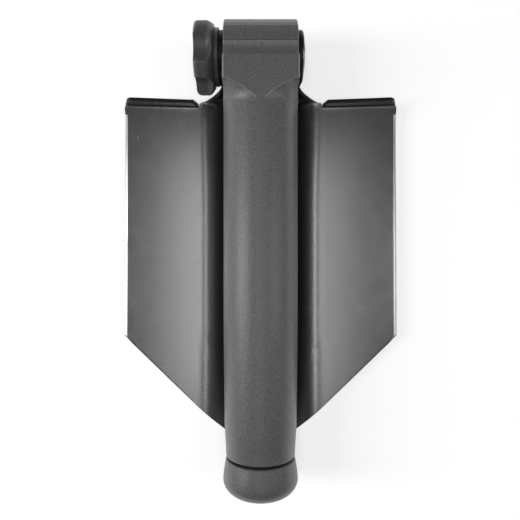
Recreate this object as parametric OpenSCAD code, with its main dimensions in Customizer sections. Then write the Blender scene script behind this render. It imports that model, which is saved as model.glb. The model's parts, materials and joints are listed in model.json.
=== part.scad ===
// Folding camp shovel, lying folded on the back of its blade.
// X runs across the blade, Y from the pommel to the hinge, Z up from the ground.
// The hollow handle telescopes and holds a saw that pulls out with the pommel.

/* [Overall] */
// Folded length, from the end of the pommel to the top of the hinge
folded_len = 242; // [238:1:250]
// Height of the handle axis above the front of the wings
handle_rise = 18; // [17:0.5:22]

/* [Blade] */
// Width of the blade
blade_w = 150; // [140:1:160]
// Length of the straight sides
side_len = 127.5; // [115:0.5:135]
// Length of the pointed end
point_len = 71; // [60:1:75]
// Distance from the hinge axis back to the top edge of the blade
neck_len = 18; // [17:0.5:20]
// Thickness of the pressed sheet
sheet_t = 2; // [1.6:0.1:2.4]
// Depth of the channel below the wings
channel_d = 6; // [4:0.5:7]
// Half width of the channel where it runs out into the wings
channel_w = 34; // [31:1:35]
// Half width of the flat floor of the channel
floor_w = 12; // [8:1:14]
// Height of the tread flanges above the wings
tread_h = 7; // [6:0.5:9]
// Inner radius of the tread bend
tread_bend = 2; // [1.5:0.5:3]
// Width of the ground bevel on each side
bevel_w = 1.2; // [0.8:0.1:1.6]

/* [Hinge] */
// Radius of the hinge barrel on the handle
hub_r = 17.9; // [17:0.1:18.5]
// Width of the hinge barrel
hub_w = 36.4; // [35:0.2:37]
// Side play between barrel and ear, which the friction washer fills
ear_gap = 0.6; // [0.5:0.1:0.8]
// Radius of the ears around the pivot
ear_r = 13; // [12:0.5:14]
// Radius of the pivot bolt
bolt_r = 4; // [3:0.5:5]
// Radius of the domed bolt head
head_r = 12.6; // [10:0.2:13]

/* [Hand nut] */
// Radius over the lobes
nut_r = 18; // [17:0.5:19]
// Number of lobes
nut_lobes = 5; // [4:1:6]
// Thickness of the lobed part
nut_t = 9.6; // [9:0.2:11]
// Radius of the flange against the ear
flange_r = 14.2; // [13:0.2:15]

/* [Handle] */
// Radius of the grip
grip_r = 19; // [18.6:0.1:19.4]
// Radius of the waist above the mouth
waist_r = 17.5; // [17.2:0.1:18]
// Radius of the lip round the mouth
lip_r = 18.2; // [18:0.1:18.6]
// Radius of the bore that the extension slides in
bore_r = 15; // [14.9:0.05:15.1]
// Radius of the extension tube
tube_r = 14.2; // [14:0.1:14.4]
// Wall of the extension tube
tube_wall = 1.5; // [1.2:0.1:1.6]

/* [Pommel and saw] */
// Largest radius of the pommel
pommel_r = 18.9; // [18.4:0.1:19.4]
// Length of the pommel
pommel_len = 20.5; // [20:0.5:22]
// Radius of the rounding round the end of the pommel
pommel_round = 12; // [9:0.5:13]
// Length of the saw outside its holder
saw_len = 134; // [100:1:136]
// Width of the saw at its holder
saw_w = 22; // [18:0.5:22]
// Pitch of the saw teeth
tooth_pitch = 5; // [4:0.5:7]

/* [Hidden] */
$fn = 72;
eps = 0.01;

wing_z = sheet_t + channel_d;
axis_z = wing_z + handle_rise;
hinge_y = folded_len / 2 - hub_r;
half_w = blade_w / 2;

top_y = hinge_y - neck_len;
corner_y = top_y - side_len;
tip_y = corner_y - point_len;
bend_out = tread_bend + sheet_t;
bend_y = top_y - bend_out;
tread_in = 36.5;
tread_out = half_w - 1.4;
tread_rake = 1;

ear_in = hub_w / 2 + ear_gap;
ear_out = ear_in + sheet_t;
fillet_w = 13;
fillet_h = 9;
fit = 0.06;
loose = 0.3;

end_y = -folded_len / 2;
pommel_y = end_y + pommel_len;
rim_y = pommel_y + 0.9;
tube_end_y = pommel_y - 3.7;
tube_top_y = 64;
bore_top_y = hinge_y - 21;
block_y = hinge_y - 16;
block_h = grip_r - 0.1;
block_corner_r = 25.2;
blend_y = hinge_y - 26;
taper_y = -31;
shoulder_y = -74;
shoulder_r = (grip_r + waist_r) / 2;
bush_r = bore_r + 0.95;
tube_bore_r = tube_r - tube_wall;
holder_y = tube_end_y + 20;
cam_offset = 0.2;
cam_r = 12;
pin_r = 1.5;
pin_y = tube_top_y - 4.5;
saw_t = 1.2;
rivet_r = 1.6;
rivet_places = [holder_y - 9, holder_y - 3.5];

flange_t = 2.4;
nut_in = ear_out + 0.15;
nut_out = nut_in + flange_t + nut_t;
pocket_d = 1.5;
insert_out = 7.6;
insert_t = 4.95;
insert_r = 7.55;

// A straight round bar along X between two places
module bar_x(x0, x1, r) {
    translate([x0, hinge_y, axis_z]) rotate([0, 90, 0]) cylinder(h = x1 - x0, r = r);
}

// A straight round bar along the handle axis between two places
module bar_y(y0, y1, r) {
    translate([0, y0, axis_z]) rotate([-90, 0, 0]) cylinder(h = y1 - y0, r = r);
}

// A body turned round the handle axis from [radius, place along Y] points
module turned_y(points) {
    translate([0, 0, axis_z]) rotate([-90, 0, 0]) rotate_extrude() polygon(points);
}

// A body turned round the pivot from [radius, place along X] points
module turned_x(points) {
    translate([0, hinge_y, axis_z]) rotate([0, 90, 0]) rotate_extrude() polygon(points);
}

// A flat shape given in Y and Z, thick from x0 to x1
module plate_yz(x0, x1) {
    translate([x0, 0, 0]) rotate([90, 0, 90]) linear_extrude(height = x1 - x0) children();
}

// A flat shape given in X and Z, drawn out along Y from y0 to y1
module drawn_y(y0, y1) {
    translate([0, y1, 0]) rotate([90, 0, 0]) linear_extrude(height = y1 - y0) children();
}

// The pieces on both sides of the blade's centre line
module both_sides() {
    children();
    mirror([1, 0, 0]) children();
}

// How far the sheet has risen from the channel floor at a place across the blade
function rise(x) = x >= channel_w ? channel_d
    : channel_d * (1 - cos(180 * (x - floor_w) / (channel_w - floor_w))) / 2;

// Cross section of the sheet: flat floor, curved walls, flat wings
module sheet_section() {
    steps = 10;
    wall = [for (i = [0:steps]) floor_w + (channel_w - floor_w) * i / steps];
    right = concat([for (x = wall) [x, rise(x)]], [[half_w, channel_d]]);
    left = [for (i = [len(right) - 1:-1:0]) [-right[i][0], right[i][1]]];
    line = concat(left, right);
    back = [for (i = [len(line) - 1:-1:0]) line[i]];
    polygon(concat([for (p = line) [p[0], p[1] + sheet_t]], back));
}

// The blade's outline, with a hollow curve up to the neck on each side
module blade_outline() {
    neck_end = hinge_y - 4.6;
    right = concat(
        [[half_w, corner_y], [half_w, bend_y + 1], [tread_in + 1, bend_y + 1], [tread_in, top_y]],
        [for (a = [0:15:90])
            [ear_out + fillet_w * (1 - sin(a)), top_y + fillet_h * (1 - cos(a))]],
        [[ear_out, neck_end]]);
    left = [for (i = [len(right) - 1:-1:0]) [-right[i][0], right[i][1]]];
    polygon(concat([[0, tip_y]], right, left));
}

// Section of a tread flange, bent up from the top edge of a wing
module tread_section() {
    bend_z = wing_z + tread_bend;
    lip_z = wing_z + tread_h;
    back = 3;
    polygon(concat(
        [[bend_y - back, wing_z - sheet_t]],
        [for (a = [-90:15:0]) [bend_y + bend_out * cos(a), bend_z + bend_out * sin(a)]],
        [[bend_y + bend_out, lip_z], [bend_y + tread_bend, lip_z]],
        [for (a = [0:-15:-90]) [bend_y + tread_bend * cos(a), bend_z + tread_bend * sin(a)]],
        [[bend_y - back, wing_z]]));
}

// Side view of one ear, a round end on a foot that joins the neck
module ear_section() {
    inside = ear_r - 0.3;
    lean = inside * cos(45);
    foot = axis_z - sheet_t - 0.7;
    translate([hinge_y, axis_z]) {
        circle(r = ear_r);
        polygon([[-inside, 0], [-inside, -12], [-neck_len + 1.4, -handle_rise + 1],
            [-neck_len, -handle_rise], [-neck_len, -foot], [2 * lean - foot, -foot],
            [lean, -lean]]);
    }
}

// Pressed blade: pointed pan with a channel, treads, ground sides and hinge ears
module spade_blade() {
    color([0.15, 0.15, 0.16]) difference() {
        union() {
            intersection() {
                linear_extrude(height = axis_z) blade_outline();
                drawn_y(tip_y, hinge_y) sheet_section();
            }
            both_sides() {
                translate([tread_in, bend_y, 0]) rotate([0, 0, tread_rake])
                    translate([0, -bend_y, 0]) plate_yz(0, tread_out - tread_in) tread_section();
                plate_yz(ear_in, ear_out) ear_section();
            }
        }
        bar_x(-half_w, half_w, bolt_r + 0.1);
        both_sides() drawn_y(corner_y - 1, top_y + 3)
            polygon([[half_w - bevel_w, wing_z + eps], [half_w + 1, wing_z + eps],
                [half_w + 1, wing_z - 1.5], [half_w, wing_z - 1.5]]);
    }
}

// Pivot bolt with a domed, slotted head and a groove for its clip
module pivot_bolt() {
    dome = 1.4;
    rim = 0.6;
    dome_r = (head_r * head_r + dome * dome) / (2 * dome);
    face_x = ear_out + rim + dome;
    tip_x = -nut_out + 0.2;
    neck_r = bolt_r - 0.6;
    dome_points = [for (a = [0:5])
        let (r = head_r * a / 5) [r, face_x - dome_r + sqrt(dome_r * dome_r - r * r)]];
    color([0.13, 0.13, 0.14]) difference() {
        turned_x(concat(dome_points,
            [[head_r, ear_out], [bolt_r, ear_out], [bolt_r, tip_x + 1.3], [neck_r, tip_x + 1.3],
                [neck_r, tip_x + 0.4], [bolt_r, tip_x + 0.4], [bolt_r, tip_x], [0, tip_x]]));
        translate([face_x - 1.3, hinge_y - 1.3, axis_z - head_r - 1])
            cube([3, 2.6, 2 * head_r + 2]);
    }
}

// Open ring that keeps the hand nut on the bolt
module retaining_clip() {
    color([0.45, 0.45, 0.47]) difference() {
        bar_x(-nut_out + 0.65, -nut_out + 1.45, bolt_r + 2.2);
        bar_x(-nut_out, -nut_out + 2, bolt_r - 0.55);
        translate([-nut_out, hinge_y - 2.4, axis_z]) cube([2, 4.8, bolt_r + 3]);
    }
}

// Dished spring washer that keeps the nut from shaking loose
module disc_spring() {
    hole = bolt_r + 0.3;
    edge = flange_r - 5;
    color([0.4, 0.4, 0.42])
        turned_x([[hole, -ear_out - 0.65], [hole, -ear_out - 0.3], [edge, -ear_out - 0.05],
            [edge, -ear_out - 0.4]]);
}

// Flat washer that travels with the nut
module thrust_washer() {
    color([0.5, 0.5, 0.52]) difference() {
        bar_x(-nut_in - pocket_d + 0.05, -nut_in - pocket_d + 0.65, flange_r - 4.2);
        bar_x(-nut_out, 0, bolt_r + 0.3);
    }
}

// Outline of the lobed grip of the hand nut
module nut_outline() {
    step = 360 / nut_lobes;
    lobe_turn = 33;
    scallop_r = 9.3;
    scallop_depth = 5.1;
    difference() {
        circle(r = nut_r);
        for (i = [0:nut_lobes - 1]) rotate(lobe_turn + step * (i + 0.5))
            translate([nut_r + scallop_r - scallop_depth, 0]) circle(r = scallop_r);
    }
}

// Lobed hand nut with a flange, a washer pocket and a recess for the bolt end
module hand_nut() {
    body_in = -nut_in - flange_t;
    color([0.17, 0.17, 0.18]) difference() {
        union() {
            translate([body_in + eps, hinge_y, axis_z]) rotate([0, -90, 0])
                linear_extrude(height = nut_t) nut_outline();
            bar_x(body_in, -nut_in, flange_r);
        }
        bar_x(-nut_in - pocket_d, 0, flange_r - 3.9);
        bar_x(-nut_out - 1, -nut_in - insert_out, bolt_r + 4.5);
        translate([-nut_in - insert_out - 0.4, hinge_y, axis_z]) rotate([0, 90, 0])
            cylinder(h = insert_t + 0.45, r = insert_r + 0.05, $fn = 6);
        bar_x(-nut_out, 0, bolt_r + 0.4);
    }
}

// Steel hexagon moulded into the nut, which carries the thread
module nut_insert() {
    color([0.6, 0.55, 0.4]) difference() {
        translate([-nut_in - insert_out, hinge_y, axis_z]) rotate([0, 90, 0])
            cylinder(h = insert_t, r = insert_r, $fn = 6);
        bar_x(-nut_out, 0, bolt_r + fit);
    }
}

// Two friction washers between the barrel and the ears
module friction_washers() {
    color([0.35, 0.3, 0.25]) both_sides() difference() {
        bar_x(hub_w / 2 + 0.05, ear_in - 0.1, ear_r - 1);
        bar_x(0, ear_out, bolt_r + 2.2);
    }
}

// Steel sleeve that turns on the bolt
module hub_sleeve() {
    color([0.55, 0.55, 0.57]) difference() {
        bar_x(-hub_w / 2 - 0.1, hub_w / 2 + 0.1, bolt_r + 2);
        bar_x(-ear_in, ear_in, bolt_r + fit);
    }
}

// Square section of the handle next to the barrel, with its corners taken off
module block_section() {
    intersection() {
        square([hub_w, 2 * block_h], center = true);
        circle(r = block_corner_r);
    }
}

// Grip with the hinge barrel at one end and the mouth at the other
module handle_body() {
    groove_r = 8;
    groove_depth = 0.9;
    groove_y = hinge_y - 2.2;
    face_y = hinge_y - 5;
    color([0.2, 0.2, 0.21]) difference() {
        union() {
            bar_x(-hub_w / 2, hub_w / 2, hub_r);
            translate([0, block_y, axis_z]) rotate([-90, 0, 0])
                linear_extrude(height = face_y - block_y) block_section();
            hull() {
                translate([0, block_y, axis_z]) rotate([-90, 0, 0])
                    linear_extrude(height = 0.5) block_section($fn = 32);
                translate([0, blend_y, axis_z]) rotate([-90, 0, 0])
                    cylinder(h = 0.5, r = grip_r, $fn = 32);
            }
            turned_y([[0, blend_y + 0.5], [grip_r, blend_y + 0.5], [grip_r, taper_y],
                [shoulder_r, shoulder_y], [waist_r, rim_y + 6], [lip_r, rim_y + 1.5],
                [lip_r, rim_y], [0, rim_y]]);
        }
        bar_y(rim_y - 1, bore_top_y, bore_r);
        bar_y(rim_y - 1, rim_y + 13, bush_r);
        bar_x(-hub_w, hub_w, bolt_r + 2.05);
        translate([-hub_w, groove_y, axis_z + hub_r + groove_r - groove_depth])
            rotate([0, 90, 0]) cylinder(h = 2 * hub_w, r = groove_r);
    }
}

// Guide bush pressed into the mouth of the handle
module mouth_bush() {
    color([0.12, 0.12, 0.12]) difference() {
        bar_y(rim_y + 2.4, rim_y + 12.9, bush_r - 0.05);
        bar_y(rim_y, rim_y + 14, tube_r + fit);
    }
}

// Seal ring outside the bush that wipes the extension tube
module wiper_seal() {
    color([0.08, 0.08, 0.08]) difference() {
        bar_y(rim_y + 0.4, rim_y + 2.3, bush_r - 0.05);
        bar_y(rim_y - 1, rim_y + 3, tube_r + 0.08);
    }
}

// Split collar that grips the bore when the cam inside it is turned
module lock_collar() {
    color([0.75, 0.75, 0.72]) difference() {
        bar_y(tube_top_y + 2.3, tube_top_y + 13.7, bore_r - 0.1);
        translate([0, 0, cam_offset]) bar_y(tube_top_y, tube_top_y + 16, cam_r + loose);
        translate([-1.5, tube_top_y, axis_z]) cube([3, 16, bore_r + 1]);
    }
}

// Off-centre cam on the end of the extension tube
module lock_cam() {
    color([0.3, 0.3, 0.32]) difference() {
        union() {
            bar_y(tube_top_y - 9, tube_top_y + 0.2, tube_bore_r - 0.05);
            bar_y(tube_top_y + 0.1, tube_top_y + 2, tube_r);
            translate([0, 0, cam_offset])
                bar_y(tube_top_y + 2 - eps, tube_top_y + 14 + eps, cam_r);
            bar_y(tube_top_y + 14, tube_top_y + 15.5, tube_r);
        }
        translate([0, pin_y, axis_z - tube_r]) cylinder(h = 2 * tube_r, r = pin_r + 0.05);
    }
}

// Cross pin that holds the cam in the tube
module cam_pin() {
    color([0.5, 0.5, 0.5]) translate([0, pin_y, axis_z - tube_r + 0.3])
        cylinder(h = 2 * tube_r - 0.6, r = pin_r);
}

// Extension tube, which holds the saw
module inner_tube() {
    color([0.25, 0.25, 0.26]) difference() {
        bar_y(tube_end_y, tube_top_y, tube_r);
        bar_y(tube_end_y - 1, tube_top_y + 1, tube_bore_r);
        translate([0, pin_y, axis_z - 2 * tube_r]) cylinder(h = 4 * tube_r, r = pin_r + 0.05);
    }
}

// Spring ring that keeps the pommel's quarter-turn lock tight
module pommel_spring() {
    color([0.55, 0.55, 0.57]) difference() {
        bar_y(tube_end_y - 0.9, tube_end_y - 0.1, tube_r);
        bar_y(tube_end_y - 2, tube_end_y + 1, tube_bore_r + 0.1);
    }
}

// Seal ring on the saw holder
module pommel_seal() {
    ring = 0.9;
    color([0.1, 0.1, 0.1]) translate([0, tube_end_y + 4, axis_z]) rotate([-90, 0, 0])
        rotate_extrude() translate([tube_bore_r - 0.1 - ring, 0]) circle(r = ring, $fn = 24);
}

// Rounded pommel with a recess for the tube end and one for the saw holder
module pommel_cap() {
    flare_y = pommel_y - 6.5;
    round_x = pommel_r - pommel_round;
    round_y = end_y + pommel_round;
    color([0.19, 0.19, 0.2]) difference() {
        turned_y(concat([[0, end_y]],
            [for (a = [-90:10:0]) [round_x + pommel_round * cos(a), round_y + pommel_round * sin(a)]],
            [[pommel_r, flare_y], [lip_r - 0.2, pommel_y], [0, pommel_y]]));
        bar_y(tube_end_y - 1, pommel_y + 1, tube_r + loose);
        bar_y(tube_end_y - 8.2, pommel_y, 10.05);
        bar_y(end_y - 1, end_y + 3.4, 4.3);
        bar_y(end_y - 1, pommel_y, 2.1);
    }
}

// Screw that joins the pommel to the saw holder
module pommel_screw() {
    color([0.5, 0.5, 0.52]) difference() {
        union() {
            bar_y(end_y + 1.4, end_y + 3.35, 4);
            bar_y(end_y + 1.4, tube_end_y - 0.5, 2);
        }
        translate([-3, end_y, axis_z - 0.6]) cube([6, 2.4, 1.2]);
    }
}

// Plug that carries the saw and closes the tube
module saw_holder() {
    color([0.14, 0.14, 0.15]) difference() {
        union() {
            bar_y(tube_end_y - 0.95, holder_y, tube_bore_r - 0.2);
            bar_y(tube_end_y - 8.1, tube_end_y, 10);
        }
        difference() {
            bar_y(tube_end_y + 2.9, tube_end_y + 5.1, tube_r);
            bar_y(tube_end_y + 2, tube_end_y + 6, tube_bore_r - 2);
        }
        translate([-saw_w / 2 - 0.1, tube_end_y + 6.9, axis_z - saw_t / 2 - 0.05])
            cube([saw_w + 0.2, 20, saw_t + 0.1]);
        bar_y(tube_end_y - 9, tube_end_y, 2.05);
        for (y = rivet_places) translate([0, y, axis_z - tube_r])
            cylinder(h = 2 * tube_r, r = rivet_r + 0.05);
    }
}

// Outline of the saw: straight back, toothed edge, tapered to a blunt tip
module saw_outline() {
    foot_y = tube_end_y + 7;
    tip = holder_y + saw_len;
    half = saw_w / 2;
    depth = 2.2;
    count = floor((saw_len - 12) / tooth_pitch);
    taper = 5 / saw_len;
    teeth = [for (i = [0:count - 1], k = [0, 1])
        let (y = holder_y + 5 + (i + 0.5 * k) * tooth_pitch)
        [-half + taper * (y - holder_y) + (k == 0 ? depth : 0), y]];
    polygon(concat([[half, foot_y], [-half, foot_y], [-half, holder_y + 1]], teeth,
        [[-half + 6, tip - 3], [-half + 9, tip], [half - 3, tip], [half, tip - 3]]));
}

// Saw, riveted to its holder
module saw_blade() {
    color([0.7, 0.7, 0.72]) difference() {
        translate([0, 0, axis_z - saw_t / 2]) linear_extrude(height = saw_t) saw_outline();
        for (y = rivet_places) translate([0, y, axis_z - 2])
            cylinder(h = 4, r = rivet_r + 0.05);
    }
}

// Rivets through holder and saw
module saw_rivets() {
    color([0.6, 0.6, 0.6]) for (y = rivet_places)
        translate([0, y, axis_z - 11]) cylinder(h = 22, r = rivet_r);
}

spade_blade();
pivot_bolt();
retaining_clip();
disc_spring();
thrust_washer();
hand_nut();
nut_insert();
friction_washers();
hub_sleeve();
handle_body();
mouth_bush();
wiper_seal();
lock_collar();
lock_cam();
cam_pin();
inner_tube();
pommel_spring();
pommel_seal();
pommel_cap();
pommel_screw();
saw_holder();
saw_blade();
saw_rivets();
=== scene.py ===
import json
import math

import bmesh
import bpy
import numpy as np
from mathutils import Matrix, Vector


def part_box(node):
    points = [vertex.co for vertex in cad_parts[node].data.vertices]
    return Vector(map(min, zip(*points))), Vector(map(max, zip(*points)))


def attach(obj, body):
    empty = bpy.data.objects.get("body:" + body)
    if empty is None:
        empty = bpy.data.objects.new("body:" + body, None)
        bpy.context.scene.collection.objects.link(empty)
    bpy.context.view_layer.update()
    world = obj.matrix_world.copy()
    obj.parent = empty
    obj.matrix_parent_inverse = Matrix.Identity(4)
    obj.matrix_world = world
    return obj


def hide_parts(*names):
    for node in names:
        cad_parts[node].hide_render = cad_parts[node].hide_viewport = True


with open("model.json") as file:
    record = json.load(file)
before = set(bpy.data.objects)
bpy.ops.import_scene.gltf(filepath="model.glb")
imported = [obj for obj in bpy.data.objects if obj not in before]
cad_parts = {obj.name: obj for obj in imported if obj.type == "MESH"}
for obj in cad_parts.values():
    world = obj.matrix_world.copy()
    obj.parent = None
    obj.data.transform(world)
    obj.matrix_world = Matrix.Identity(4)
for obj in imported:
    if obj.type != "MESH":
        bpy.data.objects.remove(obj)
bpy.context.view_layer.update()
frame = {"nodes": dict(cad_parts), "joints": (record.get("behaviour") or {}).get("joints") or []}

# ---------------------------------------------------------------- named sizes
# Lengths below are in millimetres; mesh_from() turns them into metres.
MM = 0.001
joints = {j["name"]: j for j in frame["joints"]}
HINGE_Y, AXIS_Z = [v / MM for v in joints["blade_fold"]["pos_m"][1:]]


def box_mm(node):
    lo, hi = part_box(node)
    return Vector(lo) / MM, Vector(hi) / MM


blade_lo, blade_hi = box_mm("spade_blade")
handle_lo, handle_hi = box_mm("handle_body")
pommel_lo, pommel_hi = box_mm("pommel_cap")
nut_lo, nut_hi = box_mm("hand_nut")
bolt_lo, bolt_hi = box_mm("pivot_bolt")
TUBE_END_Y = box_mm("inner_tube")[0].y

# blade: the sheet's gauge, its outline, and the heights of the middle of the sheet
SHEET = 2.0
HALF_W = blade_hi.x
TIP_Y, TIP_R = blade_lo.y, 3.0
CORNER_Y = -42.4
WING_MID = 7.0
FLOOR_MID = SHEET / 2
BROW_X = 33.0
# the ground strip along each straight side, which tapers off below the bend
GROUND_W, GROUND_DROP, GROUND_FADE = 1.5, 0.75, 9.0
# tread flanges: where they bend up, the bend's radius, their height and how far their ends lean in
BEND_Y, BEND_MID = 82.2, 1.9
FLANGE_H, FLANGE_RISE, FLANGE_CORNER = 7.0, 1.2, 2.2
LEAN_H, LEAN_IN, LEAN_OUT = 9.0, 2.4, 3.3
# ears on the bolt
BOLT_R = 4.0
EAR_R = blade_hi.z - AXIS_Z
EAR_MID = 19.8
EAR_SEAM_Z = 14.4
EAR_FOOT_Y, EAR_FRONT_Y = 98.5, 109.46

# handle: the round grip, and the square head from the flare to the hinge barrel
GRIP_R = 19.0
RIM_Y = handle_lo.y - 0.7
BORE_R, BUSH_R = 15.0, 15.95
FLARE_Y, FLARE_R = 75.6, 12.0
HEAD_W, FACE_H = 18.2, 18.9
HEAD_EDGE_R = 0.9
SEAM_H = 0.11
WIDE_Y, WIDE_L, WIDE_R = 82.0, 18.45, 18.72
# the flare has become the square head at HEAD_Y, and the block behind the pivot ends at BLOCK_Y
HEAD_Y, BLOCK_Y = 86.4, HINGE_Y - 5.6
HUB_R = handle_hi.y - HINGE_Y
HUB_END_R = 1.8
# the hollow across the barrel, as distance from the pivot and height above it
HOLLOW = [(-30, FACE_H), (-5.75, FACE_H), (-5.55, 18.78), (-5.2, 18.35), (-4.6, 17.95),
          (-3.8, 17.62), (-2.8, 17.38), (-1.6, 17.28), (-0.4, 17.36), (0.4, 17.52),
          (1.05, 17.80), (1.25, 17.86), (1.40, 17.45), (1.62, 17.93)]
# the thin raised line on the barrel: its place, height and width
LINE_Y, LINE_H, LINE_W = 9.5, 0.12, 0.14


# ------------------------------------------------------------------- helpers
def mesh_from(name, verts, faces, weld=1e-4):
    """A mesh object from points in millimetres and faces, with points closer than weld joined."""
    me = bpy.data.meshes.new(name)
    me.from_pydata([tuple(c * MM for c in v) for v in verts], [], faces)
    bm = bmesh.new()
    bm.from_mesh(me)
    bmesh.ops.remove_doubles(bm, verts=bm.verts, dist=weld * MM)
    bmesh.ops.dissolve_degenerate(bm, edges=bm.edges, dist=1e-5 * MM)
    loose = [v for v in bm.verts if not v.link_faces]
    bmesh.ops.delete(bm, geom=loose, context="VERTS")
    bmesh.ops.recalc_face_normals(bm, faces=bm.faces)
    bm.to_mesh(me)
    bm.free()
    ob = bpy.data.objects.new(name, me)
    bpy.context.scene.collection.objects.link(ob)
    return ob


def smooth(ob, angle=None):
    """Smooth shading, with edges sharper than angle (degrees) kept hard."""
    for p in ob.data.polygons:
        p.use_smooth = True
    if angle is not None:
        ob.data.set_sharp_from_angle(angle=math.radians(angle))


def apply_modifiers(ob):
    """Replace the object's mesh by what its modifiers make of it."""
    dg = bpy.context.evaluated_depsgraph_get()
    me = bpy.data.meshes.new_from_object(ob.evaluated_get(dg))
    old = ob.data
    ob.modifiers.clear()
    ob.data = me
    bpy.data.meshes.remove(old)


def rings_to_mesh(name, rings, cap_start=False):
    """A skin over a list of closed rings of points, each with the same count."""
    n = len(rings[0])
    verts = [p for ring in rings for p in ring]
    faces = []
    for i in range(len(rings) - 1):
        for j in range(n):
            k = (j + 1) % n
            faces.append((i * n + j, i * n + k, (i + 1) * n + k, (i + 1) * n + j))
    if cap_start:
        faces.append(tuple(range(n)))
    return mesh_from(name, verts, faces)


def step(a, b, x):
    """Smooth step from 0 at a to 1 at b."""
    t = min(1.0, max(0.0, (x - a) / (b - a)))
    return t * t * (3 - 2 * t)


def fall(r, d):
    """How far a rounded corner of radius r falls away at d from where it starts."""
    return r - math.sqrt(max(0.0, r ** 2 - d ** 2))


def rounded_profile(points, radii, steps=4):
    """A polyline with each corner turned into an arc of about the given radius."""
    out = []
    for i, (p, r) in enumerate(zip(points, radii)):
        p = np.array(p, float)
        if r <= 0 or i in (0, len(points) - 1):
            out.append(tuple(p))
            continue
        a, b = np.array(points[i - 1], float), np.array(points[i + 1], float)
        u, v = (a - p) / np.linalg.norm(a - p), (b - p) / np.linalg.norm(b - p)
        s, e = p + u * r, p + v * r
        for k in range(steps + 1):
            t = k / steps
            out.append(tuple((1 - t) ** 2 * s + 2 * t * (1 - t) * p + t * t * e))
    return out


def turned(name, profile, centre, axis, count):
    """A closed body turned about an axis through centre.
    The profile is a closed loop of (radius, place along the axis)."""
    rings = []
    for k in range(count):
        a = 2 * math.pi * k / count
        ring = []
        for r, s in profile:
            c, d = r * math.cos(a), r * math.sin(a)
            if axis == "y":
                ring.append((centre[0] + c, s, centre[2] + d))
            else:
                ring.append((s, centre[1] + c, centre[2] + d))
        rings.append(ring)
    rings.append(rings[0])
    return rings_to_mesh(name, rings)


def cut_with(ob, tool):
    """Cut a closed tool out of an object, and remove the tool."""
    cut = ob.modifiers.new("cut", "BOOLEAN")
    cut.operation = "DIFFERENCE"
    cut.solver = "EXACT"
    cut.object = tool
    apply_modifiers(ob)
    bpy.data.objects.remove(tool)


def piece(ob, body, slot, *nodes):
    """Put a finished piece on its body, in place of the CAD nodes it stands for."""
    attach(ob, body)
    if nodes:
        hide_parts(*nodes)
    return ob


# ----------------------------------------------------------------- materials
RAMP_LOW, RAMP_HIGH = 0.3, 0.7
# pointiness at which edges start to turn lighter and are fully lighter: a painted highlight on the
# grip's creases
POINTY_FROM, POINTY_FULL = 0.507, 0.56
GRAIN_DEPTH = 0.0002


def material(name, colour, rough, bump, bump_scale, metal=0.0, specular=0.5, spread=0.06,
             scale=900.0, rough_spread=0.06, streak=None, wear_and_highlight_amount=0.0, wear_and_highlight_colour=None):
    """A procedural finish: mottled colour and roughness, fine surface grain, and lighter sharp
    edges, which on the grip are a painted highlight along its creases.
    """
    mat = bpy.data.materials.new(name)
    mat.use_nodes = True
    nt = mat.node_tree
    nt.nodes.clear()
    out = nt.nodes.new("ShaderNodeOutputMaterial")
    bsdf = nt.nodes.new("ShaderNodeBsdfPrincipled")
    nt.links.new(bsdf.outputs[0], out.inputs[0])
    bsdf.inputs["Metallic"].default_value = metal
    bsdf.inputs["Specular IOR Level"].default_value = specular
    coord = nt.nodes.new("ShaderNodeTexCoord")
    mapping = nt.nodes.new("ShaderNodeMapping")
    nt.links.new(coord.outputs["Object"], mapping.inputs[0])
    if streak:
        mapping.inputs["Scale"].default_value = streak
    noise = nt.nodes.new("ShaderNodeTexNoise")
    noise.inputs["Scale"].default_value = scale
    noise.inputs["Detail"].default_value = 4.0
    nt.links.new(mapping.outputs[0], noise.inputs["Vector"])
    ramp = nt.nodes.new("ShaderNodeValToRGB")
    lo = [c * (1 - spread) for c in colour] + [1]
    hi = [c * (1 + spread) for c in colour] + [1]
    for element, place, value in zip(ramp.color_ramp.elements, (RAMP_LOW, RAMP_HIGH), (lo, hi)):
        element.position = place
        element.color = value
    nt.links.new(noise.outputs["Fac"], ramp.inputs[0])
    last = ramp.outputs[0]
    # sharp edges mixed towards a lighter colour: on the grip a painted highlight along the creases
    if wear_and_highlight_amount:
        geometry = nt.nodes.new("ShaderNodeNewGeometry")
        edge = nt.nodes.new("ShaderNodeMapRange")
        edge.inputs["From Min"].default_value = POINTY_FROM
        edge.inputs["From Max"].default_value = POINTY_FULL
        edge.inputs["To Max"].default_value = wear_and_highlight_amount
        nt.links.new(geometry.outputs["Pointiness"], edge.inputs["Value"])
        mix = nt.nodes.new("ShaderNodeMix")
        mix.data_type = "RGBA"
        mix.inputs["B"].default_value = list(wear_and_highlight_colour) + [1]
        nt.links.new(edge.outputs[0], mix.inputs["Factor"])
        nt.links.new(last, mix.inputs["A"])
        last = mix.outputs["Result"]
    nt.links.new(last, bsdf.inputs["Base Color"])
    rr = nt.nodes.new("ShaderNodeMapRange")
    rr.inputs["To Min"].default_value = max(0.05, rough - rough_spread)
    rr.inputs["To Max"].default_value = min(1.0, rough + rough_spread)
    nt.links.new(noise.outputs["Fac"], rr.inputs["Value"])
    nt.links.new(rr.outputs[0], bsdf.inputs["Roughness"])
    grain = nt.nodes.new("ShaderNodeTexNoise")
    grain.inputs["Scale"].default_value = bump_scale
    grain.inputs["Detail"].default_value = 1.0
    nt.links.new(mapping.outputs[0], grain.inputs["Vector"])
    bmp = nt.nodes.new("ShaderNodeBump")
    bmp.inputs["Strength"].default_value = bump
    bmp.inputs["Distance"].default_value = GRAIN_DEPTH
    nt.links.new(grain.outputs["Fac"], bmp.inputs["Height"])
    nt.links.new(bmp.outputs[0], bsdf.inputs["Normal"])
    return mat


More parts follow.
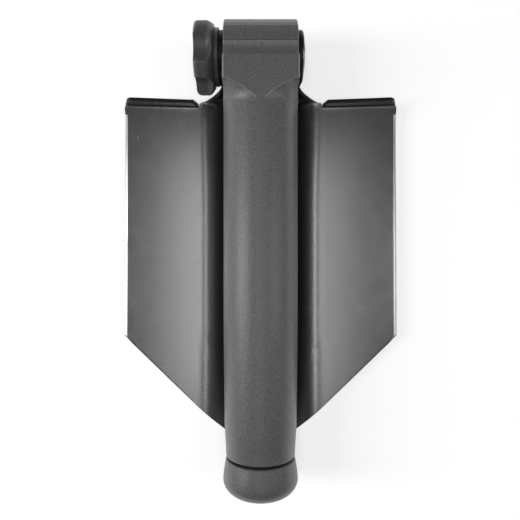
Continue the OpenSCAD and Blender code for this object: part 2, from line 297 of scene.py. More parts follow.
M = {
    "blade": material("coated_steel", (0.235, 0.235, 0.24), 0.26, 0.02, 2200.0, metal=1.0,
                      spread=0.05, scale=160.0, rough_spread=0.03),
    "ground": material("ground_edge", (0.80, 0.80, 0.80), 0.34, 0.06, 3000.0, metal=1.0,
                       scale=700.0, streak=(1.0, 0.08, 1.0)),
    # near-black cut edge of the sheet: painted shade for rims facing away from the light
    "shaded_cut_edge": material("shaded_cut_edge", (0.010, 0.010, 0.010), 0.45, 0.2, 2600.0, specular=0.25,
                         spread=0.15),
    # bright metal on the bevelled corners: worn steel, also a painted highlight along the edges
    "worn_highlit_corner": material("worn_highlit_corner", (0.62, 0.62, 0.63), 0.38, 0.1, 2600.0, metal=1.0,
                            spread=0.15, scale=500.0),
    # the grip's sharp edges turn lighter: a painted highlight along its creases
    "grip": material("grip_plastic", (0.142, 0.142, 0.143), 0.38, 0.55, 1300.0, specular=0.75,
                     spread=0.24, scale=1000.0, rough_spread=0.05, wear_and_highlight_amount=0.45,
                     wear_and_highlight_colour=(0.26, 0.26, 0.265)),
    # pale plastic for the head's corners and crease: a painted highlight
    "crease_highlight": material("crease_highlight_plastic", (0.36, 0.36, 0.365), 0.38, 0.3, 1500.0, spread=0.2),
    "pommel": material("pommel_plastic", (0.130, 0.130, 0.131), 0.40, 0.55, 1300.0,
                       specular=0.75, spread=0.24, scale=1000.0, rough_spread=0.05, wear_and_highlight_amount=0.3,
                       wear_and_highlight_colour=(0.22, 0.22, 0.225)),
    "nut": material("nut_plastic", (0.080, 0.080, 0.080), 0.38, 0.30, 1700.0, spread=0.12,
                    scale=1300.0, wear_and_highlight_amount=0.12, wear_and_highlight_colour=(0.15, 0.15, 0.15)),
    "dark_plastic": material("dark_plastic", (0.030, 0.030, 0.031), 0.45, 0.3, 1800.0,
                             spread=0.12, scale=1200.0),
    "tube": material("tube_plastic", (0.050, 0.050, 0.052), 0.36, 0.2, 2000.0, spread=0.10,
                     scale=1100.0, streak=(1.0, 0.15, 1.0)),
    "pale": material("pale_plastic", (0.52, 0.51, 0.47), 0.42, 0.15, 1500.0, spread=0.05,
                     scale=800.0),
    "rubber": material("seal_rubber", (0.014, 0.014, 0.014), 0.62, 0.2, 1600.0, spread=0.10),
    "dark_steel": material("dark_steel", (0.16, 0.16, 0.165), 0.30, 0.06, 2200.0, metal=1.0,
                           spread=0.08, scale=500.0, wear_and_highlight_amount=0.3, wear_and_highlight_colour=(0.45, 0.45, 0.46)),
    "bright_steel": material("bright_steel", (0.58, 0.58, 0.60), 0.26, 0.08, 2600.0, metal=1.0,
                             scale=600.0),
    "brass": material("brass_insert", (0.60, 0.46, 0.22), 0.28, 0.06, 2200.0, metal=1.0,
                      scale=500.0),
    "saw": material("saw_steel", (0.40, 0.405, 0.415), 0.30, 0.05, 2600.0, metal=1.0,
                    spread=0.05, scale=420.0, streak=(1.0, 0.12, 1.0)),
}
# finishes of the CAD nodes that stay; the rest are bright steel
CAD_FINISH = {
    "nut_insert": "brass", "friction_washers": "dark_plastic", "mouth_bush": "dark_plastic",
    "lock_cam": "dark_plastic", "saw_holder": "dark_plastic", "wiper_seal": "rubber",
    "pommel_seal": "rubber", "lock_collar": "pale", "inner_tube": "tube", "saw_blade": "saw",
}


# --------------------------------------------------------------------- blade
def bezier(p0, p1, p2, p3, count):
    """Points along a cubic curve."""
    pts = []
    for k in range(count + 1):
        t = k / count
        pts.append(tuple(
            (1 - t) ** 3 * a + 3 * t * (1 - t) ** 2 * b + 3 * t * t * (1 - t) * c + t ** 3 * d
            for a, b, c, d in zip(p0, p1, p2, p3)))
    return pts


# steps across the channel's wall, and places across half its floor
WALL_N = 32
FLOOR_X = [0.0, 3.0, 6.0, 9.0]


def channel_path(y, y_edge, floor_w, edge, lift):
    """Mid line of the sheet from the floor's edge to the channel's brow or the ear's foot.
    lift is 0 where the brow lies level and 1 where the wall stands upright."""
    tilt = lift * math.pi / 2
    reach = 9.5 * (1 - lift) + 5.0 * lift
    p0, p3 = (floor_w, y, FLOOR_MID), (edge[0], y_edge, edge[1])
    p1 = (floor_w + 9.0 * (1 - lift) + 4.2 * lift, y, FLOOR_MID)
    p2 = (edge[0] - reach * math.cos(tilt), y_edge, edge[1] - reach * math.sin(tilt))
    return bezier(p0, p1, p2, p3, WALL_N)


def half_width(y):
    """Half the blade's width: straight sides, then two diagonals to a rounded point."""
    if y >= CORNER_Y:
        return HALF_W - 0.5 * step(CORNER_Y, BEND_Y, y)
    r = TIP_R
    apex = TIP_Y + r - r * math.sqrt(1 + (HALF_W / (CORNER_Y - TIP_Y)) ** 2)
    straight = HALF_W - (HALF_W / (CORNER_Y - apex)) * (CORNER_Y - y)
    if y < TIP_Y + r:
        return min(straight, math.sqrt(max(0.0, r * r - (TIP_Y + r - y) ** 2)))
    return straight


def blade_mesh():
    """The middle of the blade's sheet, in one piece: pan, tread flanges, neck and ears."""
    verts, faces = [], []

    def patch(rows, flip=False):
        """Quads over rows of points; repeated points are welded later."""
        base = len(verts)
        n = len(rows[0])
        for row in rows:
            verts.extend(row)
        for i in range(len(rows) - 1):
            for j in range(n - 1):
                f = (base + i * n + j, base + i * n + j + 1,
                     base + (i + 1) * n + j + 1, base + (i + 1) * n + j)
                faces.append(f[::-1] if flip else f)

    # the flanges are raked back outward from rake_x
    rake_x, rake = 36.5, math.tan(math.radians(1.4))
    wing_x = [rake_x, 39.5, 43.0, 47.0, 51.5, 56.0, 60.5, 65.0, 69.0, 71.5, 72.8,
              HALF_W - GROUND_W, HALF_W]

    def pan_row(y):
        """Half a cross-section of the pan, from the middle to the side, at y."""
        side_w = half_width(max(y, CORNER_Y))
        k = half_width(y) / side_w
        brow = BROW_X + 0.9 * step(30, 78, y)
        path = channel_path(y, y, 12.0 + 1.0 * step(40, BEND_Y, y), (brow, WING_MID), 0.0)
        bx, bz = [p[0] for p in path], [p[2] for p in path]
        row = []
        for x in FLOOR_X + bx + wing_x:
            x = x * (side_w / HALF_W if x > 70 else 1.0) * k
            z = float(np.interp(x, [0, bx[0]] + bx[1:], [FLOOR_MID, FLOOR_MID] + bz[1:]))
            yy = y + rake * max(0.0, x - rake_x) * step(60, BEND_Y, y)
            row.append((x, yy, z))
        return row

    ys = [TIP_Y, TIP_Y + 0.25, TIP_Y + 0.8, TIP_Y + 1.6, TIP_Y + 2.6, TIP_Y + 4]
    ys += list(np.linspace(TIP_Y + 7, CORNER_Y - 1.0, 22)) + [CORNER_Y, CORNER_Y + 1.0]
    ys += list(np.linspace(CORNER_Y + 6, BEND_Y - 7, 26))
    ys += [BEND_Y - 4, BEND_Y - 1.5, BEND_Y - 0.25, BEND_Y]
    pan = [pan_row(y) for y in ys]
    patch([[(-x, y, z) for x, y, z in row[:0:-1]] + row for row in pan])

    # the tread flanges: a rounded bend, then an upright wall with a rounded inner corner
    top = pan[-1]
    first = len(FLOOR_X) + WALL_N
    for side in (1, -1):
        base_row = top[first:]
        x_in, x_out = base_row[0][0], base_row[-1][0]
        rows = [base_row]
        levels = [("arc", a) for a in (15, 30, 45, 60, 75, 90)]
        levels += [("up", t) for t in (0.25, 0.5, 0.75, 0.9, 1.0)]
        for kind, t in levels:
            row = []
            for x, y, z in base_row:
                f = (x - x_in) / (x_out - x_in)
                if kind == "arc":
                    a = math.radians(t)
                    up, out_y = BEND_MID * (1 - math.cos(a)), BEND_MID * math.sin(a)
                else:
                    top_z = WING_MID + SHEET / 2 + FLANGE_H + FLANGE_RISE * f
                    from_end = (1 - f) * (x_out - x_in - LEAN_IN - LEAN_OUT)
                    if from_end < FLANGE_CORNER:
                        top_z -= fall(FLANGE_CORNER, FLANGE_CORNER - max(from_end, 0))
                    up, out_y = BEND_MID + t * (top_z - WING_MID - BEND_MID), BEND_MID
                lean = up / LEAN_H
                xi, xo = x_in + LEAN_IN * lean, x_out - LEAN_OUT * lean
                row.append((xi + (xo - xi) * f, y + out_y, z + up))
            rows.append(row)
        patch([[(side * x, y, z) for x, y, z in row] for row in rows], flip=side < 0)

    # the neck, from the top of the pan to the ears' feet: y of the floor, y, x and z of the
    # edge, and how far the wall is lifted
    edge = [
        (83.5, 85.0, 33.75, 7.0, 0.0), (85.2, 85.7, 32.8, 7.03, 0.02),
        (86.9, 86.45, 30.0, 7.25, 0.10), (88.4, 87.7, 26.9, 7.9, 0.26),
        (89.8, 89.0, 24.2, 9.2, 0.50), (91.0, 90.4, 21.8, 11.3, 0.78),
        (92.2, 91.9, EAR_MID, EAR_SEAM_Z, 1.0), (94.2, 94.2, EAR_MID, EAR_SEAM_Z, 1.0),
        (96.2, 96.2, EAR_MID, EAR_SEAM_Z, 1.0), (EAR_FOOT_Y, EAR_FOOT_Y, EAR_MID, EAR_SEAM_Z, 1.0),
    ]
    neck_rows = [top[:first + 1]]
    for y, ye, ex, ez, lift in edge:
        path = channel_path(y, ye, 13.0 + 1.6 * step(81, 92, y), (ex, ez), lift)
        fy = [(x, y, FLOOR_MID) for x in FLOOR_X]
        row = fy + [(x, y + (ye - y) * (k / WALL_N) ** 2, z)
                    for k, (x, _, z) in enumerate(path)]
        neck_rows.append(row)
    patch([[(-x, y, z) for x, y, z in row[:0:-1]] + row for row in neck_rows])

    # the lower front corner of each ear, then the round ear with its hole
    upright = [p for p in neck_rows[-1] if p[0] > EAR_MID - 0.9 and p[2] > 5.5]
    z0 = upright[0][2]
    front_ys = [EAR_FOOT_Y, 100.5, 102.5, 104.5, 106.5, 108.2, EAR_FRONT_Y]
    ear_rows = []
    for y in front_ys:
        ahead = y - EAR_FOOT_Y
        low = z0 + ahead * (EAR_SEAM_Z - z0) / (EAR_FRONT_Y - EAR_FOOT_Y)
        ear_rows.append([
            (x + (EAR_MID - x) * min(1, ahead / 4), y,
             low + (z - z0) * (EAR_SEAM_Z - low) / (EAR_SEAM_Z - z0)) for x, _, z in upright])
    hole = BOLT_R + 0.15
    outline = []
    for k in range(46):
        a = math.radians(-45 + 225 * k / 45)
        outline.append((HINGE_Y + EAR_R * math.cos(a), AXIS_Z + EAR_R * math.sin(a)))
    outline += [(90.15, 23.4), (90.35, 20.8), (90.75, 18.4), (91.25, 16.2)]
    outline += [(y, EAR_SEAM_Z) for y in [91.9, 94.2, 96.2] + front_ys]
    ring_of = []
    for t in (0.0, 0.12, 0.3, 0.55, 0.8, 0.94, 1.0):
        ring = []
        for y, z in outline:
            a = math.atan2(z - AXIS_Z, y - HINGE_Y)
            hy, hz = HINGE_Y + hole * math.cos(a), AXIS_Z + hole * math.sin(a)
            ring.append((EAR_MID, hy + (y - hy) * t, hz + (z - hz) * t))
        ring.append(ring[0])
        ring_of.append(ring)
    for side in (1, -1):
        patch([[(side * x, y, z) for x, y, z in row] for row in ear_rows], flip=side < 0)
        patch([[(side * x, y, z) for x, y, z in ring] for ring in ring_of], flip=side < 0)
    return mesh_from("blade_sheet", verts, faces, weld=0.02)


def ground_fade(y):
    """1 along the ground side, down to 0 just below the bend."""
    return min(1.0, max(0.0, (BEND_Y - 1.0 - y) / GROUND_FADE))


BLADE_SLOTS = ["blade", "shaded_cut_edge", "ground", "worn_highlit_corner"]
BLADE, SHADED_CUT_EDGE, GROUND, WORN_HIGHLIT_CORNER = range(4)

blade = blade_mesh()
mod = blade.modifiers.new("sheet", "SOLIDIFY")
mod.thickness = SHEET * MM
mod.offset = 0.0
mod.use_even_offset = True
# the sheet's rims get the near-black painted shade
mod.material_offset_rim = SHADED_CUT_EDGE
for finish in BLADE_SLOTS:
    blade.data.materials.append(M[finish])
apply_modifiers(blade)
# the straight sides are ground to an edge on the front
for v in blade.data.vertices:
    x, y, z = v.co / MM
    outer = abs(x) > HALF_W - 0.9 and CORNER_Y - 0.2 < y < BEND_Y - 3
    if outer and z > WING_MID + SHEET / 4:
        v.co.z -= GROUND_DROP * ground_fade(y) * MM
# the strip's inner line runs out to the side as the strip tapers off
strip_end, front_z = 0.3, WING_MID + SHEET / 2
for v in blade.data.vertices:
    x, y, z = v.co / MM
    if HALF_W - 1.7 < abs(x) < HALF_W - strip_end and front_z - 0.1 < z < front_z + 0.1:
        inner = HALF_W - strip_end - (GROUND_W - strip_end) * ground_fade(y)
        v.co.x = math.copysign(inner * MM, x)
mod = blade.modifiers.new("edges", "BEVEL")
mod.width = 0.28 * MM
mod.segments = 2
mod.limit_method = "ANGLE"
mod.angle_limit = math.radians(50)
# the bevels get the bright worn metal, also a painted edge highlight
mod.material = WORN_HIGHLIT_CORNER
apply_modifiers(blade)
# bevelled corners on the flanges, the neck and the ears keep the bright worn metal, which is also a
# painted highlight along the edges; the pan's stay coated
for p in blade.data.polygons:
    c, n = p.center / MM, p.normal
    pan = c.y < BEND_Y - 1.5
    if p.material_index == WORN_HIGHLIT_CORNER and pan:
        p.material_index = BLADE
    strip = pan and abs(c.x) > HALF_W - GROUND_W and c.y > CORNER_Y - 0.1
    if strip and 0.2 < abs(n.x) < 0.8 and n.z > 0.4:
        p.material_index = GROUND
smooth(blade, 38)
piece(blade, "blade", "coated_steel", "spade_blade")


# -------------------------------------------------------------- handle shell
def head_top(yr):
    """Height of the head's front above the pivot axis at a place yr from the pivot."""
    if yr <= HOLLOW[-1][0]:
        return float(np.interp(yr, [p[0] for p in HOLLOW], [p[1] for p in HOLLOW]))
    lip = LINE_H * step(LINE_Y + 0.4, LINE_Y - 0.1, yr)
    lip += LINE_H * math.exp(-((yr - LINE_Y) / LINE_W) ** 2)
    return math.sqrt(max(0.0, (HUB_R + lip) ** 2 - yr * yr)) if yr < HUB_R else 0.0


def head_back(yr):
    """Height of the head's back above the pivot axis, mirrored."""
    arc = math.sqrt(max(0.0, HUB_R ** 2 - yr * yr))
    return arc + (FACE_H - arc) * step(-4.6, -6.2, yr) if yr < 0 else arc


def quadrant(radius, w, h, corner, bulge):
    """Points from the side's middle to the front's middle of a square clipped by a circle."""
    edge = 0.35
    z_s = math.sqrt(max(radius ** 2 - w ** 2, 3.0 ** 2))
    z_s = min(z_s, h - min(corner, 0.45 * h))
    x_t = math.sqrt(max(radius ** 2 - h ** 2, 1.95 ** 2))
    x_t = min(x_t, w - min(corner, 0.9 * w))
    zs = [z_s * k / 6 for k in range(6)] + [max(z_s - edge, z_s * 0.93), z_s]
    pts = [(min(w, math.sqrt(max(radius ** 2 - z * z, 0.0))), z) for z in zs]
    xs = [x_t, max(x_t - edge, x_t * 0.93)] + [x_t * k / 9 for k in range(8, 1, -1)]
    xs += [min(0.5, x_t * 0.16), min(0.24, x_t * 0.1), 0.0]
    top = [(x, min(h, math.sqrt(max(radius ** 2 - x * x, 0.0)))) for x in xs]
    # round the corner between the two, along the circle or, with bulge, along a tight arc
    a, b = pts[-1], top[0]
    a0, a1 = math.atan2(a[1], a[0]), math.atan2(b[1], b[0])
    ra, rb = math.hypot(*a), math.hypot(*b)
    steps = 18
    for f in [0.03] + [0.06 + 0.88 * k / steps for k in range(steps + 1)] + [0.97]:
        t = a0 + (a1 - a0) * f
        r = ra + (rb - ra) * f
        p = (r * math.cos(t), r * math.sin(t))
        if bulge > 0:
            u = f * math.pi / 2
            q = (w - corner + corner * math.cos(u), h - corner + corner * math.sin(u))
            p = tuple(p[i] + (q[i] - p[i]) * bulge for i in (0, 1))
        pts.append(p)
    return pts + top


def widen(x, y):
    """The block behind the pivot fills the space between the ears; the barrel clears the neck."""
    block = step(WIDE_Y, WIDE_Y + 3, y) * (1 - 0.7 * step(BLOCK_Y, HINGE_Y - 4.6, y))
    return block * ((WIDE_R if x > 0 else WIDE_L) / HEAD_W - 1)


def section(y, radius, w, h_top, h_back, corner, bulge, ridge):
    """A ring round the handle at y: a square clipped by a circle, with a moulding seam."""
    front, back = [
        quadrant(radius, w, h, min(corner, 0.6 * h) if h > 0.1 else corner, bulge if h > 2 else 0.0)
        for h in (h_top, h_back)]
    front = [(x, z + (ridge if x < 0.01 else 0.0)) for x, z in front]
    ring = [(x, y, AXIS_Z + z) for x, z in front]
    ring += [(-x, y, AXIS_Z + z) for x, z in front[-2::-1]]
    ring += [(-x, y, AXIS_Z - z) for x, z in back[1:]]
    ring += [(x, y, AXIS_Z - z) for x, z in back[-2:0:-1]]
    return [(x * (1 + widen(x, y) * step(11.5, 15.5, z - AXIS_Z)), y, z) for x, y, z in ring]


def grip_radius(y):
    """The grip's radius: a smooth curve through a few places, narrowing towards the rim."""
    ys = [RIM_Y + 2.6, RIM_Y + 6, RIM_Y + 13, RIM_Y + 25.6, -52, -31, 20]
    rs = [17.72, 17.92, 18.3, 18.57, 18.8, 18.98, GRIP_R]
    i = min(max(np.searchsorted(ys, y) - 1, 0), len(ys) - 2)
    slope = [(rs[k + 1] - rs[k]) / (ys[k + 1] - ys[k]) for k in range(len(ys) - 1)]
    m = [0.0 if k in (0, len(ys) - 1) else (slope[k - 1] + slope[k]) / 2 for k in range(len(ys))]
    span = ys[i + 1] - ys[i]
    t = min(max((y - ys[i]) / span, 0.0), 1.0)
    return ((2 * t ** 3 - 3 * t * t + 1) * rs[i] + (t ** 3 - 2 * t * t + t) * span * m[i]
            + (3 * t * t - 2 * t ** 3) * rs[i + 1] + (t ** 3 - t * t) * span * m[i + 1])


def handle_mesh():
    """The handle's skin, from the closed end of its bore out to the mouth and up to the barrel."""
    rings = []
    # radii of the circle that clips the square: none, on the flare and at the head's start
    free, flare_clip, head_clip = 99.0, 25.75, 25.9
    foot_w = 19.05

    def plain(y, r, ridge=0.0):
        rings.append(section(y, r, free, free, free, HEAD_EDGE_R, 0.0, ridge))

    for r, y in [(4.0, 82.1), (14.2, 82.1), (BORE_R, 81.3), (BORE_R, 40.0), (BORE_R, RIM_Y + 13.4),
                 (BORE_R + 0.2, RIM_Y + 13.1), (BUSH_R, RIM_Y + 13.0), (BUSH_R, RIM_Y + 0.9),
                 (BUSH_R + 0.1, RIM_Y + 0.5), (BUSH_R + 0.5, RIM_Y + 0.12),
                 (BUSH_R + 0.8, RIM_Y), (17.15, RIM_Y), (17.42, RIM_Y + 0.08),
                 (17.6, RIM_Y + 0.26), (17.68, RIM_Y + 0.55), (17.7, RIM_Y + 1.0),
                 (17.71, RIM_Y + 1.8)]:
        plain(y, r)
    for y in list(np.linspace(RIM_Y + 2.8, -60, 16)) + list(np.linspace(-54, 20, 10)):
        plain(y, grip_radius(y))
    for y in (40, 55, 64, 70, 74):
        plain(y, GRIP_R, SEAM_H * step(35, 66, y))
    # the flare, from the round grip to the square head
    for k in range(26):
        a = math.radians(k * 2.5)
        y = FLARE_Y + FLARE_R * math.sin(a)
        r = GRIP_R + FLARE_R * (1 - math.cos(a))
        w = foot_w - (foot_w - HEAD_W) * step(FLARE_Y, 86.0, y)
        rings.append(section(y, min(r, flare_clip), w, FACE_H, FACE_H, HEAD_EDGE_R,
                             step(24.6, 25.8, r), SEAM_H))
    # the head and the barrel, with rings close together at the hollow and the thin line
    stations = [86.45, 86.9, 88.2, 90.5, 93.5]
    stations += [HINGE_Y + v for v in (-7.2, -6.2, -5.95, -5.75, -5.55, -5.2, -4.6, -3.8, -2.8,
                                       -1.6, -0.4, 0.4, 1.05, 1.25, 1.40, 1.62, 1.9, 2.6)]
    stations += [HINGE_Y + HUB_R * math.cos(math.radians(a)) for a in np.linspace(80, 59.5, 9)]
    stations += [HINGE_Y + v for v in (9.35, 9.5, 9.65, 9.8, 9.95, 10.2)]
    stations += [HINGE_Y + HUB_R * math.cos(math.radians(a))
                 for a in list(np.linspace(53, 4, 24)) + [2, 0.8, 0.0]]
    for y in stations:
        yr = y - HINGE_Y
        w = HEAD_W
        past = yr - (HUB_R - HUB_END_R)
        if past > 0:
            w -= fall(HUB_END_R, min(past, HUB_END_R))
        clip = free if y > HEAD_Y + 0.2 else head_clip
        seam = SEAM_H if yr < -6.5 else 0.0
        rings.append(section(y, clip, w, head_top(yr), head_back(yr), 0.85, 1.0, seam))
    return rings_to_mesh("handle_shell", rings, cap_start=True)


handle = handle_mesh()
# the bore for the hub sleeve
sleeve_r, drill_x = 6.05, 60.0
cut_with(handle, turned(
    "drill", [(0.0, -drill_x), (sleeve_r, -drill_x), (sleeve_r, drill_x), (0.0, drill_x)],
    (0, HINGE_Y, AXIS_Z), "x", 64))
smooth(handle, 60)
GRIP, CREASE_HIGHLIGHT = range(2)
handle.data.materials.append(M["grip"])
handle.data.materials.append(M["crease_highlight"])
# the head's side corners and the V-shaped crease are painted pale as a highlight
crease_in, crease_out, crease_gap, level = 0.5, 0.06, 2.3, 0.97
for p in handle.data.polygons:
    c, n = p.center / MM, p.normal
    high = c.z > AXIS_Z + FACE_H - 1.0
    corner = high and abs(c.x) > 17.6 and HEAD_Y < c.y < BLOCK_Y and 0.3 < n.z < level
    t = (c.y - FLARE_Y) / FLARE_R
    crease = False
    if high and 0 < t < 0.9 and n.z > level:
        r = GRIP_R + FLARE_R * (1 - math.sqrt(1 - t * t))
        in_plan = abs(c.x) / (1 + widen(c.x, c.y))
        past = in_plan - math.sqrt(r * r - FACE_H ** 2)
        crease = -crease_in < past < crease_out and in_plan > crease_gap
    if corner or crease:
        p.material_index = CREASE_HIGHLIGHT
piece(handle, "handle", "grip_plastic", "handle_body")

# the gate mark, a small dimple with a raised rim in the hollow across the head
gate_back, gate_tilt = 0.9, 97
gate = turned("gate_mark", rounded_profile(
    [(0.0, -0.4), (1.05, -0.4), (0.95, 0.26), (0.62, 0.28), (0.45, 0.03), (0.0, 0.02),
     (0.0, -0.4)],
    [0, 0, 0.08, 0.06, 0.06, 0, 0], 3), (0, 0, 0), "y", 40)
gate.data.transform(Matrix.Rotation(math.radians(gate_tilt), 4, "X"))
gate.data.transform(Matrix.Translation(
    Vector((-0.1, HINGE_Y - gate_back, AXIS_Z + head_top(-gate_back) - 0.02)) * MM))
smooth(gate, 45)
gate.data.materials.append(M["grip"])
piece(gate, "handle", "grip_plastic")


# ------------------------------------------------------------------ hand nut
def nut_mesh():
    """The hand nut: five lobes, a flange towards the ear, and a hexagonal pocket."""
    out_x, in_x = nut_lo.x, nut_hi.x
    flange_t = 2.4
    body_in = in_x - flange_t
    length = body_in - out_x
    r_nut, lobes, turn = 18.5, 5, math.radians(33)
    scallop, depth = 9.3, 5.1
    centre = r_nut + scallop - depth
    count = 300
    angles = [2 * math.pi * k / count for k in range(count)]
    face_r, root_w, root_drop, notch_w, notch_drop = 2.4, 3.2, 3.3, 4.2, 6.2

    def soft_min(a, b, k=0.55):
        """The smaller of two radii, blended where they meet."""
        h = max(k - abs(a - b), 0.0) / k
        return min(a, b) - h * h * k * 0.25

    def envelope(a):
        """The lobes' radius at a, the distance outward from the flange."""
        t_out = length - a
        r = r_nut
        if t_out < face_r:
            r -= fall(face_r, face_r - t_out)
        if a < root_w:
            r -= root_drop * ((root_w - a) / root_w) ** 1.6
        return r

    def radius(phi, a):
        """The lobes' outline at angle phi, with the scallops cut in."""
        r = envelope(a)
        step_a = 2 * math.pi / lobes
        d = (phi - turn - step_a / 2) % step_a
        d = min(d, step_a - d)
        rs = scallop
        if a < notch_w:
            rs -= notch_drop * (1 - math.sqrt(max(0.0, 1 - ((notch_w - a) / notch_w) ** 2)))
        s = rs * rs - (centre * math.sin(d)) ** 2
        if s > 0:
            hit = centre * math.cos(d) - math.sqrt(s)
            return soft_min(r, hit)
        return r

    def ring(fn, x):
        """A ring at x whose radius is fn of the angle."""
        pts = []
        for phi in angles:
            r = fn(phi)
            pts.append((x, HINGE_Y + r * math.sin(phi), AXIS_Z + r * math.cos(phi)))
        return pts

    def rounds(*places):
        """Round rings, each given as its radius and x."""
        return [ring(lambda _: r, x) for r, x in places]

    def hexagon(phi, across):
        d = (phi + math.pi / 6) % (math.pi / 3) - math.pi / 6
        return across * math.cos(math.pi / 6) / math.cos(d)

    # from the bore out along the washer's seat and the flange
    bore_r, washer_r, flange_r = 4.4, 10.3, 14.2
    rings = rounds((bore_r, in_x - 2.65), (bore_r, in_x - 1.5), (washer_r, in_x - 1.5),
                   (washer_r, in_x - 0.25), (washer_r + 0.2, in_x), (13.7, in_x),
                   (14.0, in_x - 0.1), (flange_r, in_x - 0.4),
                   (flange_r, in_x - flange_t + 0.5), (14.05, in_x - flange_t + 0.2))
    rings.append(ring(lambda p: min(14.0, radius(p, 0.0) + 0.3), in_x - flange_t))
    # the lobes, then the outer face
    levels = [0.0, 0.25, 0.55, 0.9, 1.3, 1.75, 2.25, 2.8, 3.4, 4.0, 4.6, 5.4, 6.2]
    levels += [length - v for v in (2.4, 1.9, 1.45, 1.05, 0.7, 0.42, 0.2, 0.06)]
    for a in levels:
        rings.append(ring(lambda p: radius(p, a), body_in - a))
    for f in (0.93, 0.85):
        rings.append(ring(lambda p: 9.2 + (radius(p, length - 0.06) - 9.2) * f, out_x))
    # the pocket, and the hexagon that holds the insert
    seat, pocket_r, hex_r = in_x - 7.6, 8.5, 7.6
    rings += rounds((9.1, out_x), (8.75, out_x + 0.08), (8.55, out_x + 0.35),
                    (pocket_r, out_x + 0.8), (pocket_r, seat - 0.2), (8.35, seat))
    for r, x in ((7.75, seat), (7.62, seat + 0.2), (hex_r, in_x - 2.65)):
        rings.append(ring(lambda p: hexagon(p, r), x))
    rings.append(rings[0])
    return rings_to_mesh("lobed_nut", rings)


nut = nut_mesh()
smooth(nut, 42)
nut.data.materials.append(M["nut"])
piece(nut, "nut", "nut_plastic", "hand_nut")


# --------------------------------------------------------------- pivot bolt
def bolt_mesh():
    """The bolt, with a domed head and a groove for the retaining clip."""
    face, end = bolt_hi.x, bolt_lo.x
    head, rim, dome = 12.6, 0.6, 1.4
    groove_r, nick = 3.4, 0.12
    flat = face - rim - dome
    dome_r = (head ** 2 + dome ** 2) / (2 * dome)
    profile = [(head * k / 14, face - dome_r + math.sqrt(dome_r ** 2 - (head * k / 14) ** 2))
               for k in range(14)]
    profile += [(head - nick, face - dome + 0.02), (head, face - dome - nick),
                (head, flat + nick), (head - nick, flat), (BOLT_R, flat), (BOLT_R, end + 1.3),
                (groove_r, end + 1.3), (groove_r, end + 0.4), (BOLT_R, end + 0.4),
                (BOLT_R, end + 0.25), (BOLT_R - 0.25, end), (0.0, end)]
    return turned("slotted_bolt", profile, (0, HINGE_Y, AXIS_Z), "x", 160)


bolt = bolt_mesh()
slot_half, slot_depth, slot_reach = 1.35, 1.3, 16
cut_with(bolt, mesh_from("slot_cut", [
    (x, HINGE_Y + sy * slot_half, AXIS_Z + sz * slot_reach)
    for x in (bolt_hi.x - slot_depth, bolt_hi.x + 3) for sy in (-1, 1) for sz in (-1, 1)],
    [(0, 1, 3, 2), (4, 6, 7, 5), (0, 4, 5, 1), (2, 3, 7, 6), (0, 2, 6, 4), (1, 5, 7, 3)]))
smooth(bolt, 30)
bolt.data.materials.append(M["dark_steel"])
piece(bolt, "blade", "dark_steel", "pivot_bolt")


# -------------------------------------------------------------------- pommel
def pommel_mesh():
    """The pommel: a cup with a rounded end, sockets for the tube and the saw holder, and a
    recess for the screw."""
    end, top = pommel_lo.y, pommel_hi.y - 1.25
    face, big_r, lip_r = end + 0.6, pommel_hi.x + 0.25, 17.9
    round_r, round_y, lip_w, lip_h = 10.0, 8.2, 0.8, 1.2
    shoulder = face + round_y
    screw_r, recess_r, tube_r, holder_r = 2.1, 4.3, 14.5, 10.05
    pts = [(screw_r, end + 3.4), (3.9, end + 3.4), (recess_r, end + 3.1),
           (recess_r, face + 0.45), (4.55, face + 0.1), (4.9, face)]
    for k in range(25):
        a = math.radians(-90 + 90 * k / 24)
        pts.append((big_r - round_r + round_r * math.cos(a), shoulder + round_y * math.sin(a)))
    for k in range(1, 8):
        t = k / 8
        pts.append((big_r - (big_r - lip_r) * t ** 1.4,
                    shoulder + (top - lip_h - shoulder) * t))
    for k in range(10):
        a = math.radians(10 * k)
        pts.append((lip_r - lip_w + lip_w * math.cos(a), top - lip_h + lip_h * math.sin(a)))
    pts += [(15.1, top), (14.7, top - 0.15), (tube_r, top - 0.5), (tube_r, TUBE_END_Y - 0.9),
            (14.3, TUBE_END_Y - 1.0), (10.35, TUBE_END_Y - 1.0), (holder_r, TUBE_END_Y - 1.3),
            (holder_r, TUBE_END_Y - 8.0), (9.85, TUBE_END_Y - 8.2), (screw_r, TUBE_END_Y - 8.2),
            (screw_r, end + 3.4)]
    return turned("pommel_shell", pts, (0, 0, AXIS_Z), "y", 160)


pommel = pommel_mesh()
smooth(pommel, 50)
pommel.data.materials.append(M["pommel"])
piece(pommel, "saw", "pommel_plastic", "pommel_cap")


# ------------------------------------------------------- carried-over nodes
for name, ob in frame["nodes"].items():
    if ob.hide_render:
        continue
    ob.data.materials.clear()
    ob.data.materials.append(M[CAD_FINISH.get(name, "bright_steel")])


# ------------------------------------------------------ floor, light, camera
def floor():
    """A wide pale floor, slightly bright in itself, just below the blade."""
    me = bpy.data.meshes.new("floor")
    far, gap = 9.0, 0.0002
    me.from_pydata([(-far, -far, 0), (far, -far, 0), (far, far, 0), (-far, far, 0)], [],
                   [(0, 1, 2, 3)])
    ob = bpy.data.objects.new("floor", me)
    ob.location.z = -gap
    bpy.context.scene.collection.objects.link(ob)
    mat = bpy.data.materials.new("pale_floor")
    mat.use_nodes = True
    bsdf = mat.node_tree.nodes["Principled BSDF"]
    bsdf.inputs["Base Color"].default_value = (0.92, 0.92, 0.92, 1)
    bsdf.inputs["Roughness"].default_value = 0.9
    bsdf.inputs["Specular IOR Level"].default_value = 0.1
    bsdf.inputs["Emission Color"].default_value = (1, 1, 1, 1)
    bsdf.inputs["Emission Strength"].default_value = 0.56
    me.materials.append(mat)


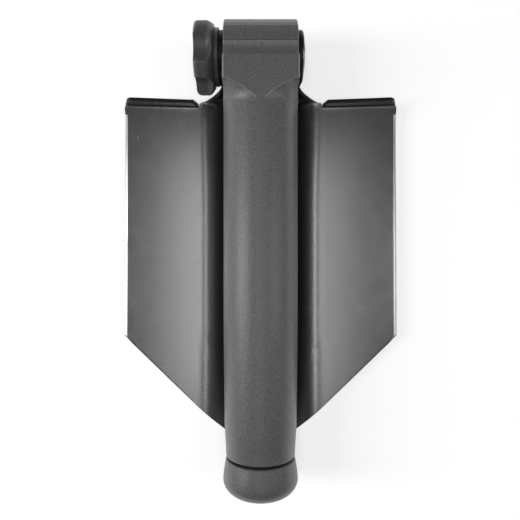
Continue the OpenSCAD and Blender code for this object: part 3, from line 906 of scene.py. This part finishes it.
def panel(name, place, aim, size, power):
    """A rectangular light at place, turned towards aim."""
    light = bpy.data.lights.new(name, "AREA")
    light.shape = "RECTANGLE"
    light.size, light.size_y = size
    light.energy = power
    ob = bpy.data.objects.new(name, light)
    ob.location = place
    ob.rotation_euler = (Vector(aim) - Vector(place)).to_track_quat("-Z", "Y").to_euler()
    bpy.context.scene.collection.objects.link(ob)


floor()
world = bpy.data.worlds.new("studio")
bpy.context.scene.world = world
world.use_nodes = True
# dim overhead and paler towards the horizon
SKY_HORIZON, SKY_OVERHEAD = 0.30, 0.115
sky = world.node_tree
sky_coord = sky.nodes.new("ShaderNodeTexCoord")
sky_axes = sky.nodes.new("ShaderNodeSeparateXYZ")
sky_level = sky.nodes.new("ShaderNodeMapRange")
sky_level.inputs["From Min"].default_value = 0.02
sky_level.inputs["From Max"].default_value = 0.30
sky_level.inputs["To Min"].default_value = SKY_HORIZON
sky_level.inputs["To Max"].default_value = SKY_OVERHEAD
sky.links.new(sky_coord.outputs["Generated"], sky_axes.inputs[0])
sky.links.new(sky_axes.outputs["Z"], sky_level.inputs["Value"])
sky.links.new(sky_level.outputs[0], sky.nodes["Background"].inputs[1])
sky.nodes["Background"].inputs[0].default_value = (1, 1, 1, 1)

# two narrow strips overhead with a dark gap between them, and a panel on each side
panel("over_left", (-0.148, -0.06, 1.0), (-0.148, -0.06, 0), (0.09, 0.68), 0.78)
panel("over_right", (0.140, -0.06, 1.0), (0.140, -0.06, 0), (0.08, 0.68), 0.585)
panel("left", (-0.855, -0.02, 0.61), (0, 0, 0), (0.26, 0.75), 4.0)
panel("right", (0.72, -0.02, 0.76), (0, 0, 0), (0.26, 0.75), 1.4)

# the camera looks straight down: a focal length of 500 px in a frame 520 px wide
FOCAL_PX, FRAME_PX = 500.0, 520.0
WING_TOP, CAMERA_ABOVE = 0.008, 0.275
cam = bpy.data.cameras.new("camera")
cam.sensor_width = 36.0
cam.lens = FOCAL_PX / FRAME_PX * cam.sensor_width
cam.clip_start = 0.01
camera = bpy.data.objects.new("camera", cam)
camera.location = (-0.0003, -0.0009, WING_TOP + CAMERA_ABOVE)
bpy.context.scene.collection.objects.link(camera)
bpy.context.scene.camera = camera
bpy.context.scene.view_settings.view_transform = "Standard"
